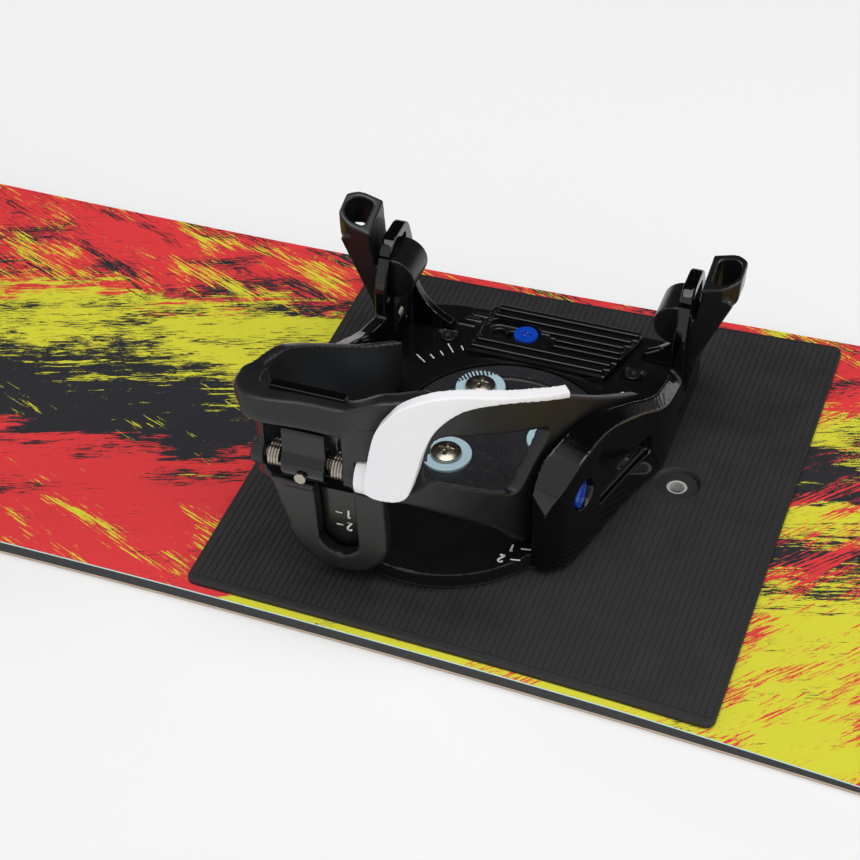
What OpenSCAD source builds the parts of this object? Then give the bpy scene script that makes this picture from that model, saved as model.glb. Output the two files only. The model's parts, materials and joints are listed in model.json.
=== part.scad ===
// A child's snowboard with two strapless step-in bindings.
// X runs along the board with the nose at +X, +Y is the toe side and +Z is up.
// The origin is the centre of the box that holds the board, at the height of its base.

/* [Board] */
// Length from tip to tip
board_length = 1000; // [900:10:1200]
// Width at the waist
waist_w = 210; // [195:5:225]
// Radius of the sidecut
sidecut_r = 4940; // [4500:10:6000]
// Distance from the middle to where a tip starts to rise
flat_half = 350; // [330:5:360]
// Radius of the rising tips
tip_rise_r = 340; // [320:10:400]
// Thickness between the bindings
core_t = 6; // [5.5:0.5:8]
// Thickness where a tip starts to rise
end_t = 4.2; // [4:0.1:5]

/* [Stance] */
// Distance between the two bindings' discs
stance_w = 370; // [356:2:380]
// How far the discs sit towards the toe edge
toe_shift = 2.5; // [0:0.5:4]

/* [Pads] */
// Length of each rubber pad along the board
pad_l = 203; // [190:1:210]
// Thickness of each rubber pad
pad_t = 2.5; // [2:0.5:4]
// Margin between a pad and the board's edge
pad_margin = 3.2; // [2:0.2:6]

/* [Binding] */
// Radius of the mounting disc
disc_r = 41.5; // [40:0.5:42]
// Height of the toe towers above the pad
tower_h = 62; // [58:1:66]
// Height of the heel cup's rear rim above the pad
cup_h = 94; // [90:1:98]
// Thickness of the heel cup's wall
cup_wall = 4.5; // [4:0.5:5]

/* [Hidden] */
$fn = 64;
BOARD_NODES = ["base_sheet", "steel_edge", "wood_core", "tip_spacers", "sidewall", "topsheet", "board_inserts"];
SIDE_NODES = ["pad", "gasket", "baseplate", "rail_out", "rail_in", "disc", "disc_washers", "disc_screws",
    "toe_ramp", "toe_screw", "rail_screws", "heel_cup", "cup_screws", "cup_nuts", "latch", "latch_rivet",
    "latch_shaft", "latch_springs", "cup_bar", "release_lever", "hook_out", "hook_in",
    "hook_pins", "hook_springs"];

// Board layers
edge_w = 2.2;
edge_t = 2;
base_t = 1.2;
wall_w = 5;
sheet_t = 0.6;
tip_start = board_length / 2 - 120;
tip_r = half_w(tip_start);
taper_x = stance_w / 2 + 80;
insert_r = 4;
insert_bore_r = 3;

// Binding heights above the pad's top face
pad_z = core_t + pad_t;
gasket_t = 2;
floor_z = 8;
disc_gap = 0.3;
lip_z = 9.6;
lip_w = 4.5;
washer_z = 7;
// Disc screws and the free insert, in the disc's own frame
disc_screws_xy = [[-17, -18], [-17, 24], [19.4, 3]];
free_insert_xy = [70, 3];
screw_r = 2.95;
washer_r = 10;
pad_corner = 4.5;

// Toe towers: the inboard one sits a little nearer to the heel
tower_out = [57.5, 34];
tower_in = [-57.5, 28];
tower_w = 5;
tower_l = 28;
window_l = 18;
rail_steps = 9;
rail_step_h = 0.6;
hook_l = 17.2;
hook_axis = [60, 22];
pin_r = 2;
run_gap = 0.05;

// Heel latch axis, along X
latch_y = -88.5;
latch_z = 58;
shaft_r = 2.5;
spring_wire_r = 0.6;

// Corners of a polygon, each rounded by a curve that starts r before the corner
function rounded(p, r, n = 5) = [for (i = [0 : len(p) - 1])
    let (a = p[(i + len(p) - 1) % len(p)], v = p[i], b = p[(i + 1) % len(p)],
         p0 = v + min(r, norm(a - v) / 2) * (a - v) / norm(a - v),
         p2 = v + min(r, norm(b - v) / 2) * (b - v) / norm(b - v))
    for (k = [0 : n]) let (t = k / n) (1 - t) * (1 - t) * p0 + 2 * t * (1 - t) * v + t * t * p2];

// A smooth open path through the given points
function smooth(p, n = 5) = concat([for (i = [0 : len(p) - 2])
    let (a = p[max(i - 1, 0)], b = p[i], c = p[i + 1], d = p[min(i + 2, len(p) - 1)])
    for (k = [0 : n - 1]) let (t = k / n, t2 = t * t, t3 = t2 * t)
        0.5 * (2 * b + t * (c - a) + t2 * (2 * a - 5 * b + 4 * c - d) + t3 * (3 * b - a - 3 * c + d))],
    [p[len(p) - 1]]);

// The same path moved sideways: positive d moves it to the left of its direction
function moved(p, d, closed = false) = [for (i = [0 : len(p) - 1])
    let (n = len(p), a = closed ? p[(i + n - 1) % n] : p[max(i - 1, 0)],
         b = closed ? p[(i + 1) % n] : p[min(i + 1, n - 1)], t = (b - a) / norm(b - a))
    p[i] + d * [-t[1], t[0]]];

// Half of the board's width at a distance x from the waist, from the sidecut's circle
function half_w(x) = waist_w / 2 + sidecut_r - sqrt(sidecut_r * sidecut_r - x * x);

function reversed(p) = [for (i = [len(p) - 1 : -1 : 0]) p[i]];

// The area between two sideways moves of one path
function band(p, d0, d1) = concat(moved(p, d0), reversed(moved(p, d1)));

// A flat outline drawn in X and Z, made solid from y0 to y1
module along_y(y0, y1) translate([0, y1, 0]) rotate([90, 0, 0]) linear_extrude(y1 - y0) children();

// A flat outline drawn in Y and Z, made solid from x0 to x1
module along_x(x0, x1) translate([x0, 0, 0]) rotate([90, 0, 90]) linear_extrude(x1 - x0) children();

// ---- Board ----

// The board's edge seen from above: the toe side's sidecut, the tail, the heel side and the nose
edge_step = 20;
side_xs = [for (x = [-tip_start : edge_step : tip_start]) x];
nose = smooth([[tip_start, -tip_r], [tip_start + 18, -tip_r - 0.9], [tip_start + 42, -tip_r + 5.5],
    [tip_start + 74, -92], [tip_start + 100, -66], [tip_start + 115, -35], [board_length / 2, 0],
    [tip_start + 115, 35], [tip_start + 100, 66], [tip_start + 74, 92], [tip_start + 42, tip_r - 5.5],
    [tip_start + 18, tip_r + 0.9], [tip_start, tip_r]], 4);
inner_nose = [for (i = [1 : len(nose) - 2]) nose[i]];
edge_path = concat([for (x = side_xs) [x, -half_w(x)]], inner_nose,
    [for (x = reversed(side_xs)) [x, half_w(x)]], -1 * inner_nose);

// How far the board has risen at a distance x from its middle
function rise(x) = abs(x) < flat_half ? 0 : tip_rise_r - sqrt(pow(tip_rise_r, 2) - pow(abs(x) - flat_half, 2));

// Thickness of the whole board: full between the bindings, thinner at the tips
function full_t(x) = core_t - (core_t - end_t) * min(max((abs(x) - taper_x) / (flat_half - taper_x), 0), 1);

half_xs = concat([0, taper_x], [for (i = [0 : 16]) flat_half + i / 16 * (board_length / 2 + 10 - flat_half)]);
layer_xs = concat([for (i = [len(half_xs) - 1 : -1 : 1]) -half_xs[i]], half_xs);

module slab(inset) translate([0, 0, -5]) linear_extrude(80) polygon(moved(edge_path, inset, true));
module ring(inset0, inset1) translate([0, 0, -5]) linear_extrude(80) difference() {
    polygon(moved(edge_path, inset0, true));
    polygon(moved(edge_path, inset1, true));
}

// A layer that starts low above the base and ends high above it, or cut below the top face
module layer(low, high, cut = -1) along_y(-200, 200) polygon(concat(
    [for (x = layer_xs) [x, rise(x) + low]],
    [for (x = reversed(layer_xs)) [x, rise(x) + (cut < 0 ? high : full_t(x) - cut)]]));

module base_sheet() color("#1d1d20") intersection() {
    slab(edge_w);
    layer(0, base_t);
}

module steel_edge() color("silver") intersection() {
    ring(0, edge_w);
    layer(0, edge_t);
}

module insert_holes(r) for (s = [-1, 1]) for (p = concat(disc_screws_xy, [free_insert_xy]))
    translate([s * (stance_w / 2 + p[0]), toe_shift + p[1], base_t]) cylinder(r = r, h = 20);

module wood_core() color("burlywood") difference() {
    intersection() {
        slab(wall_w);
        layer(base_t, 0, sheet_t);
        translate([-flat_half, -200, 0]) cube([2 * flat_half, 400, 20]);
    }
    insert_holes(insert_r);
}

// Plastic that takes the core's place in the raised tips
module tip_spacers() color("dimgray") difference() {
    intersection() {
        slab(wall_w);
        layer(base_t, 0, sheet_t);
    }
    translate([-flat_half, -200, 0]) cube([2 * flat_half, 400, 20]);
}

module sidewall() color("#222224") {
    intersection() {
        ring(0, wall_w);
        layer(edge_t, 0, sheet_t);
    }
    intersection() {
        ring(edge_w, wall_w);
        layer(base_t, edge_t + 0.5);
    }
}

module topsheet() color("#e2484a") difference() {
    intersection() {
        slab(0);
        difference() {
            layer(0, 0, 0);
            layer(-1, 0, sheet_t);
        }
    }
    insert_holes(insert_r);
}

module board_inserts() color("silver") difference() {
    intersection() {
        insert_holes(insert_r);
        layer(base_t, 0, 0);
    }
    insert_holes(insert_bore_r);
}

// ---- One binding, drawn in the frame of its disc with z = 0 on the pad's top face ----

// Stations along a pad, which reaches further outboard than inboard
pad_xs = [for (i = [0 : 6]) 12 - pad_l / 2 + i / 6 * pad_l];
module pad() color("#2b2b2d") translate([0, 0, -pad_t]) linear_extrude(pad_t) difference() {
    polygon(rounded(concat(
        [for (x = pad_xs) [x, pad_margin - toe_shift - half_w(x + stance_w / 2)]],
        [for (x = reversed(pad_xs)) [x, half_w(x + stance_w / 2) - toe_shift - 2 * pad_margin]]), pad_corner));
    for (p = disc_screws_xy) translate(p) circle(5);
    translate(free_insert_xy) circle(8.5);
}

// Floor plan of the base: wide at the toes, round at the heel, with the heel inboard
heel_c = [-10, -36];
heel_r = 47;
module floor_plan(inset) {
    polygon(rounded([[-61 + inset, -45], [-40, -62 + inset], [28, -62 + inset], [39 - inset, -58], [48 - inset, -28],
        [61 - inset, 8], [61 - inset, 72 - inset], [44, 76 - inset], [-44, 72 - inset], [-61 + inset, 66 - inset]], 6));
    translate(heel_c) circle(heel_r - inset);
}

module gasket() color("#141416") linear_extrude(gasket_t) difference() {
    floor_plan(1.5);
    circle(disc_r - 2);
}

module baseplate() color("#2a2a2d") {
    difference() {
        union() {
            translate([0, 0, gasket_t]) linear_extrude(floor_z - gasket_t) floor_plan(0);
            cylinder(r = disc_r + lip_w, h = lip_z);
            // Raised heel spine that the heel cup is clamped to
            along_x(-42, -23) polygon([[-68, gasket_t], [-83, gasket_t], [-86.5, 44], [-81, 44], [-78, 14], [-68, 8]]);
        }
        translate([0, 0, -1]) cylinder(r = disc_r - 2, h = 20);
        translate([0, 0, 4]) cylinder(r = disc_r + disc_gap, h = 20);
        translate([0, 0, -1]) cylinder(r = disc_r + 5, h = gasket_t + 1);
        rail_feet();
        // Holes for the toe ramp's screw and the rails' screws
        translate([-8.5, 57, 4]) cylinder(r = 2.55, h = 20);
        for (p = rail_screw_xy) translate([p[0], p[1], 3]) {
            cylinder(r = 1.55, h = 20);
            translate([-4.6, -3.8, floor_z - 4.2]) linear_extrude(9)
                polygon(rounded([[0, 0], [9.2, 0], [9.2, 7.6], [0, 7.6]], 2));
        }
    }
    // Three short ribs beside the toe ramp
    for (i = [0 : 2]) translate([-39 + 2 * i, 60.5 + 3.6 * i, floor_z]) cube([7, 1.6, 1.5]);
}

rail_screw_xy = [[-40, 50.8], [38.5, 51]];
module rail_screws() color("#18181a") for (p = rail_screw_xy) translate([p[0], p[1], 0]) {
    translate([0, 0, 3]) cylinder(r = 1.5, h = 4.5);
    difference() {
        translate([0, 0, floor_z - 1.2]) cylinder(r = 3.2, h = 1.8);
        translate([0, 0, floor_z - 0.2]) cylinder(r = 1.4, h = 2, $fn = 6);
    }
}

// Where the screws that hold the heel cup cross the rails, in Y and Z
cup_screw_out = [-46, 30];
cup_screw_in = [-34, 30];

// Outer faces of the two side rails, from the tower to the heel
rail_out_path = smooth([[62.5, 34], [62.5, 10], [56.5, -8], [51, -28], [47, -45], [42.5, -57], [36.5, -62]]);
rail_out_inner = smooth([[57.5, 34], [57.5, 10], [51, -8], [43, -28], [36.5, -45], [32.5, -55], [31, -61]]);
rail_in_path = smooth([[-62.5, 28], [-63, 10], [-64, -10], [-64.5, -30], [-65, -44]]);
// The outer rail's plan from its inner face to a share of its thickness
function rail_plan(share) = concat(rail_out_inner,
    reversed([for (i = [0 : len(rail_out_path) - 1]) rail_out_inner[i] + share * (rail_out_path[i] - rail_out_inner[i])]));

// The ground that the rails and towers take from the floor
module rail_feet() linear_extrude(30) {
    polygon(rail_plan(1.6));
    polygon(band(rail_in_path, -5, tower_w));
    translate([tower_out[0], tower_out[1] - 1]) square([9, tower_l + 5]);
    translate([tower_in[0] - 9, tower_in[1] - 1]) square([9, tower_l + 5]);
}

// Side view of the outer rail: low by the tower, with a hump that carries the heel cup's screw
rail_hump = smooth([[30, 30], [10, 36], [-8, 44.5], [-28, 53], [-43, 54], [-54, 50], [-60, 42], [-62, 34]]);
module rail_side(drop) polygon(concat([[-62, gasket_t], [34, gasket_t], [34, 30 - drop]],
    [for (p = rail_hump) [p[0], p[1] - drop]]));

module tower(p) {
    translate([p[0], p[1], 0]) difference() {
        along_x(0, tower_w) polygon(rounded([[-1, gasket_t], [tower_l + 4, gasket_t], [tower_l + 4, 47],
            [tower_l - 2, tower_h], [8, tower_h], [-1, 46]], 6));
        along_x(-1, tower_w + 1) polygon(rounded([[5, 14], [5 + window_l, 14], [5 + window_l, 57.5],
            [5, 57.5]], 1.5));
        translate([hook_axis[0] - abs(p[0]), -5, hook_axis[1]]) rotate([-90, 0, 0])
            cylinder(r = pin_r, h = tower_l + 12);
    }
}

// Curved web behind a tower that ties it to the floor
module tower_web(y) along_y(y, y + 4) difference() {
    polygon([[38.6, floor_z], [60, floor_z], [60, 44], [55, 44]]);
    translate([30, 36]) circle(26.5);
}

module rail_out() color("#0c0c0e") {
    tower(tower_out);
    difference() {
        // The top edge steps down towards the outer face
        union() for (i = [0 : rail_steps - 1]) intersection() {
            linear_extrude(70) polygon(rail_plan((i + 1) / rail_steps));
            along_x(20, 80) rail_side(i * rail_step_h);
        }
        translate([20, cup_screw_out[0], cup_screw_out[1]]) rotate([0, 90, 0]) {
            cylinder(r = 2.6, h = 40);
            translate([0, 0, 23.4]) cylinder(r = 6.2, h = 20);
        }
        // Long hollow in the outer face
        translate([54.4, -17, 20]) rotate([0, 0, 74.5]) cube([36, 5, 9], center = true);
    }
    tower_web(tower_out[1] + tower_l - 1);
}

module rail_in() color("#0c0c0e") {
    mirror([1, 0, 0]) tower([-tower_in[0], tower_in[1]]);
    intersection() {
        linear_extrude(70) polygon(band(rail_in_path, 0, tower_w));
        difference() {
            along_x(-80, -20) rail_side(0);
            translate([-90, cup_screw_in[0], cup_screw_in[1]]) rotate([0, 90, 0]) cylinder(r = 2.6, h = 40);
        }
    }
    mirror([1, 0, 0]) tower_web(tower_in[1] + tower_l - 1);
}

module disc() color("#303033") difference() {
    union() {
        translate([0, 0, 4]) cylinder(r = disc_r, h = 4.6);
        translate([0, 0, 0.2]) cylinder(r = disc_r - 2.3, h = 4);
    }
    translate([0, 0, washer_z]) {
        cylinder(r = 35, h = 5);
        for (p = disc_screws_xy) translate(p) cylinder(r = washer_r + 0.3, h = 5);
    }
    for (p = disc_screws_xy) translate([p[0], p[1], -1]) for (dx = [-6, 0, 6])
        translate([dx, 0, 0]) cylinder(r = 3.4, h = 10);
}

module disc_washers() color("#cfe6f2") for (p = disc_screws_xy) translate([p[0], p[1], washer_z])
    difference() {
        cylinder(r = washer_r, h = 1.6);
        translate([0, 0, -1]) cylinder(r = 3.2, h = 4);
        translate([0, 0, 1.1]) cylinder(r = 6.4, h = 2);
    }

module cross_recess(r, depth) for (a = [0, 90]) rotate(a)
    translate([-r, -r / 4, -depth]) cube([2 * r, r / 2, depth + 5]);

module disc_screws() color("silver") for (p = disc_screws_xy) translate([p[0], p[1], 0]) {
    translate([0, 0, -pad_t - 4.2]) cylinder(r = screw_r, h = 15.4);
    difference() {
        intersection() {
            translate([0, 0, washer_z + 1.1]) cylinder(r = 6, h = 3);
            translate([0, 0, -1.3]) sphere(r = 12.5);
        }
        translate([0, 0, washer_z + 4.1]) cross_recess(3, 1.6);
    }
}

ramp_rib_y = [44, 48.6, 61, 65.6, 70.2];
module toe_ramp() color("#161618") difference() {
    union() {
        translate([0, 0, floor_z]) linear_extrude(3) polygon([[-29, 42], [29, 42], [37, 72.5], [-27, 72.5]]);
        for (i = [0 : 4]) translate([0, ramp_rib_y[i], floor_z + 3]) linear_extrude(2.4)
            polygon(rounded([[-28 + i, -1.4], [28 + 2 * i, -1.4], [28 + 2 * i, 1.4], [-28 + i, 1.4]], 1));
        for (y = [53.2, 56.8]) translate([4, y - 1.1, floor_z + 3]) cube([28, 2.2, 2.4]);
        translate([0, 0, floor_z + 3]) linear_extrude(1.2)
            polygon(rounded([[-27, 50.5], [2, 50.5], [2, 59.5], [-27, 59.5]], 3));
    }
    // Room for the lip round the disc
    cylinder(r = disc_r + lip_w + disc_gap, h = lip_z + disc_gap);
    for (x = [-20, -14, -8.5]) translate([x, 57, 0]) cylinder(r = 2.7, h = 40);
    translate([-14, 57, floor_z + 2.2]) linear_extrude(20)
        polygon(rounded([[-11, -5.2], [11, -5.2], [11, 5.2], [-11, 5.2]], 5));
}

module toe_screw() color("#1a50b8") translate([-8.5, 57, 0]) {
    translate([0, 0, 4]) cylinder(r = 2.5, h = 7);
    difference() {
        translate([0, 0, floor_z + 2.2]) cylinder(r = 5, h = 2.2);
        translate([0, 0, floor_z + 4.4]) cross_recess(2.6, 1.2);
    }
}

// Outer face of the heel cup from its inboard front end round the heel to its outboard front end
cup_path = smooth([[-51, 16], [-54, -12], [-57.3, -36], [-62, -58], [-67, -76], [-63, -88], [-54, -93],
    [-38, -93.5], [-24, -93], [-12, -89.5], [2, -81.5], [16, -70.5], [28, -56], [38, -38], [45.5, -12], [51, 12]], 4);

cup_foot_z = 10;
// Side view of the heel cup: low at the front, high at the heel, arched below
module cup_side() polygon(concat([[-57, cup_foot_z], [18, cup_foot_z], [18, 27]],
    smooth([[16, 30], [-12, 49], [-40, 70], [-60, 84], [-78, 92], [-96, cup_h]]),
    smooth([[-96, 48], [-88, 46], [-78, 36], [-66, 23], [-57, cup_foot_z]])));

module heel_cup() color("#232325") difference() {
    union() {
        intersection() {
            linear_extrude(100) polygon(band(cup_path, 0, cup_wall));
            along_x(-90, 90) cup_side();
        }
        // Rounded lip along the rear rim
        intersection() {
            linear_extrude(100) polygon(band([for (i = [16 : 40]) cup_path[i]], -1.2, cup_wall + 2.2));
            along_x(-90, 90) polygon([[-60, 73], [-60, 83], [-78, 92], [-98, cup_h], [-98, 83], [-78, 81]]);
        }
        // Tongue that hooks over the heel of the base
        difference() {
            along_y(-95, -84) {
                translate([-33, 26]) circle(19);
                polygon([[-52, 26], [-14, 26], [-14, 54], [-58, 54]]);
            }
            along_x(-70, 0) polygon([[-96, -5], [-89, -5], [-89, 5], [-93.6, 56], [-96, 56]]);
            along_x(-70, 0) polygon([[-80, -5], [-83.6, -5], [-83.6, 5], [-87.2, 46], [-89, 56], [-80, 56]]);
        }
        // Cheeks that hold the latch's shaft
        translate([-64, latch_y, latch_z]) rotate([0, 90, 0]) cylinder(r = 5.5, h = 5);
        translate([-29, latch_y, latch_z]) rotate([0, 90, 0]) cylinder(r = 5.5, h = 4.5);
        // Bosses that meet the rails
        translate([31, cup_screw_out[0], cup_screw_out[1]]) rotate([0, 90, 0]) cylinder(r = 6.5, h = 4.2);
        translate([-59.3, cup_screw_in[0], cup_screw_in[1]]) rotate([0, 90, 0]) cylinder(r = 6.5, h = 5);
    }
    // Window and trough at the rear
    along_y(-100, -80) polygon(rounded([[-59, 50], [-29.2, 50], [-29.2, 78.5], [-59, 80]], 3));
    along_y(-100, -80) {
        translate([-33, 23]) circle(7.5);
        translate([-40.5, 23]) square([15, 30]);
    }
    // Window over the disc
    along_x(-3, 70) polygon(rounded([[-84, 56], [-81.5, 75], [-47, 60], [-60, 36]], 4));
    // Shaft bore and screw holes
    translate([-70, latch_y, latch_z]) rotate([0, 90, 0]) cylinder(r = shaft_r + run_gap, h = 60);
    translate([20, cup_screw_out[0], cup_screw_out[1]]) rotate([0, 90, 0]) {
        cylinder(r = 2.6, h = 40);
        cylinder(r = 4.7, h = 13);
    }
    translate([-70, cup_screw_in[0], cup_screw_in[1]]) rotate([0, 90, 0]) {
        cylinder(r = 2.6, h = 40);
        translate([0, 0, 14.5]) cylinder(r = 4.7, h = 13);
    }
    // Room for the outer rail
    linear_extrude(60) polygon(concat(moved(rail_out_inner, -run_gap), [[90, -61], [90, 34]]));
    // Pocket for the lever's hub and low end, and groove for the bar
    translate([-24.4, latch_y, latch_z]) rotate([0, 90, 0]) {
        cylinder(r = 8.4, h = 8);
        cylinder(r = 8, h = 27);
    }
    translate(bar_at) cube(bar_size);
}

module screw_x(x, yz, s, l) translate([x, yz[0], yz[1]]) mirror([s > 0 ? 0 : 1, 0, 0]) rotate([0, 90, 0]) {
    translate([0, 0, -l]) cylinder(r = 2.5, h = l);
    difference() {
        cylinder(r = 5.5, h = 2.2);
        translate([0, 0, 2.2]) cross_recess(2.6, 1.2);
    }
}

module cup_screws() color("#1a50b8") {
    screw_x(43.5, cup_screw_out, 1, 13.5);
    screw_x(-65.2, cup_screw_in, -1, 12.4);
}

module cup_nuts() color("silver") for (p = [[30, cup_screw_out], [-55.5, cup_screw_in]])
    translate([p[0], p[1][0], p[1][1]]) rotate([0, 90, 0]) difference() {
        cylinder(r = 4.6, h = 3);
        translate([0, 0, -1]) cylinder(r = 2.5, h = 8);
    }

module latch() color("#101012") translate([0, latch_y, latch_z]) difference() {
    along_x(-51.5, -35) {
        circle(7.5);
        polygon(rounded([[-5, 0], [6.5, 0], [6.5, 4], [13, 6], [19.5, 14.5], [19.5, 16.8], [-5, 16.8]], 1.5));
    }
    translate([-60, 0, 0]) rotate([0, 90, 0]) cylinder(r = shaft_r, h = 60);
    translate([-43.5, -12, -2]) rotate([-90, 0, 0]) cylinder(r = 1.4, h = 8);
}

module latch_rivet() color("silver") translate([-43.5, latch_y, latch_z - 2]) rotate([90, 0, 0]) {
    translate([0, 0, 4.5]) cylinder(r = 1.4, h = 4);
    translate([0, 0, 8.1]) cylinder(r = 2.2, h = 0.9);
}

module latch_shaft() color("silver") translate([-63.6, latch_y, latch_z]) rotate([0, 90, 0])
    cylinder(r = shaft_r, h = 44);

module coil(r, turns) for (i = [0 : turns - 1]) translate([0, 0, i * 2.1 * spring_wire_r])
    rotate_extrude() translate([r, 0]) circle(spring_wire_r, $fn = 24);

module latch_springs() color("silver") for (x = [-57.6, -33.6])
    translate([x, latch_y, latch_z]) rotate([0, 90, 0]) coil(4.4, 4);

bar_at = [-56, -90, 87];
bar_size = [28, 3.8, 3.4];
module cup_bar() color("#08080a") translate(bar_at) cube(bar_size);

// White lever: a strip that hugs the outside of the cup and narrows into a blade
lever_gap = 1.6;
lever_t = 5;
lever_path = [for (i = [30 : 51]) cup_path[i]];
lever_inner = moved(lever_path, -lever_gap);
lever_outer = moved(lever_path, -lever_gap - lever_t);
module release_lever() color("white") {
    intersection() {
        // Full thickness round the heel, then thinner and thinner towards the blade's tip
        linear_extrude(120) polygon(concat(lever_inner, reversed([for (i = [0 : len(lever_path) - 1])
            lever_inner[i] + (1 - 0.03 * max(0, i - 6)) * (lever_outer[i] - lever_inner[i])])));
        along_y(-120, -20) polygon(concat(
            smooth([[-19, 57], [-14, 54], [-6, 53.4], [-2.8, 61.5], [0.4, 74.6], [4.9, 84], [13.7, 89],
                [27, 84.4], [43, 70.5]]),
            smooth([[44, 72.5], [34, 81.3], [27, 86.8], [13.6, 94.8], [2.2, 97.2], [-6.8, 94.8], [-11.5, 90],
                [-15, 84], [-17.5, 72], [-19, 62.5]])));
    }
    difference() {
        translate([-24, latch_y, latch_z]) rotate([0, 90, 0]) cylinder(r = 7.8, h = 7);
        translate([-25, latch_y, latch_z]) rotate([0, 90, 0]) cylinder(r = shaft_r, h = 5.4);
    }
}

// Toe hook for the +X side: a rounded nose inside the tower and an arm with a loop outside it
module toe_hook() difference() {
    union() {
        difference() {
            along_y(0, hook_l) polygon(rounded([[56.5, 18], [63.6, 16.5], [66.5, 33], [70, 50], [73, 59],
                [79.5, 60], [81, 80], [67, 80], [65.5, 57], [63, 40], [56.5, 40]], 2.5));
            // Finger loop, open upwards and downwards
            translate([69.2, 2.5, 48]) linear_extrude(40) polygon(rounded([[0, 0], [6, 0], [9.6, 3],
                [9.6, 9], [6, 12.4], [0, 12.4]], 2.4));
            // The loop's outer corners are round
            linear_extrude(90) difference() {
                translate([74, -1]) square([12, hook_l + 2]);
                polygon(rounded([[60, 0], [75.5, 0], [81.5, 4.5], [81.5, 12.5], [76, hook_l], [60, hook_l]], 3.5));
            }
            // The loop's rim slopes up away from the boot and up towards the toes
            translate([67, 0, 66]) rotate([15, -16, 0]) translate([-30, -30, 0]) cube([80, 80, 40]);
        }
        // Web below the loop at its heel end
        along_y(0, 3) polygon([[62, 20], [66.5, 33], [78.5, 61], [76, 63], [66, 60], [62, 40]]);
        along_y(0, hook_l) {
            difference() {
                translate([57, 46]) circle(9);
                translate([63.2, 30]) square([20, 40]);
            }
            translate([56.5, 18]) square([6, 26]);
        }
    }
    translate([hook_axis[0], -1, hook_axis[1]]) rotate([-90, 0, 0]) cylinder(r = pin_r + run_gap, h = 30);
    // Slot for the spring
    translate([hook_axis[0], 5.2, hook_axis[1]]) rotate([-90, 0, 0]) cylinder(r = 5.4, h = 7);
    translate([hook_axis[0] - 6, 5.2, 10]) cube([12, 7, 12]);
}

hook_inset = 5 + (window_l - hook_l) / 2;
module hook_out() color("#141416") translate([0, tower_out[1] + hook_inset, 0]) toe_hook();
module hook_in() color("#141416") mirror([1, 0, 0]) translate([0, tower_in[1] + hook_inset, 0]) toe_hook();

module hook_pins() color("silver") for (p = [tower_out, tower_in])
    translate([sign(p[0]) * hook_axis[0], p[1] + 0.2, hook_axis[1]]) rotate([-90, 0, 0])
        cylinder(r = pin_r, h = tower_l - 1.6);

module hook_springs() color("silver") for (p = [tower_out, tower_in])
    translate([sign(p[0]) * hook_axis[0], p[1] + hook_inset + 6.2, hook_axis[1]]) rotate([-90, 0, 0])
        coil(3.2, 4);

// ---- Placing the two bindings ----

module front() translate([stance_w / 2, toe_shift, pad_z]) children();
module rear() translate([-stance_w / 2, toe_shift, pad_z]) mirror([1, 0, 0]) children();

base_sheet();
steel_edge();
wood_core();
tip_spacers();
sidewall();
topsheet();
board_inserts();
front() pad();  // front_pad
front() gasket();  // front_gasket
front() baseplate();  // front_baseplate
front() rail_out();  // front_rail_out
front() rail_in();  // front_rail_in
front() disc();  // front_disc
front() disc_washers();  // front_disc_washers
front() disc_screws();  // front_disc_screws
front() toe_ramp();  // front_toe_ramp
front() toe_screw();  // front_toe_screw
front() rail_screws();  // front_rail_screws
front() heel_cup();  // front_heel_cup
front() cup_screws();  // front_cup_screws
front() cup_nuts();  // front_cup_nuts
front() latch();  // front_latch
front() latch_rivet();  // front_latch_rivet
front() latch_shaft();  // front_latch_shaft
front() latch_springs();  // front_latch_springs
front() cup_bar();  // front_cup_bar
front() release_lever();  // front_release_lever
front() hook_out();  // front_hook_out
front() hook_in();  // front_hook_in
front() hook_pins();  // front_hook_pins
front() hook_springs();  // front_hook_springs
rear() pad();  // rear_pad
rear() gasket();  // rear_gasket
rear() baseplate();  // rear_baseplate
rear() rail_out();  // rear_rail_out
rear() rail_in();  // rear_rail_in
rear() disc();  // rear_disc
rear() disc_washers();  // rear_disc_washers
rear() disc_screws();  // rear_disc_screws
rear() toe_ramp();  // rear_toe_ramp
rear() toe_screw();  // rear_toe_screw
rear() rail_screws();  // rear_rail_screws
rear() heel_cup();  // rear_heel_cup
rear() cup_screws();  // rear_cup_screws
rear() cup_nuts();  // rear_cup_nuts
rear() latch();  // rear_latch
rear() latch_rivet();  // rear_latch_rivet
rear() latch_shaft();  // rear_latch_shaft
rear() latch_springs();  // rear_latch_springs
rear() cup_bar();  // rear_cup_bar
rear() release_lever();  // rear_release_lever
rear() hook_out();  // rear_hook_out
rear() hook_in();  // rear_hook_in
rear() hook_pins();  // rear_hook_pins
rear() hook_springs();  // rear_hook_springs
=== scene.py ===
import json
import math

import bmesh
import bpy
from mathutils import Matrix, Vector


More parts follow.
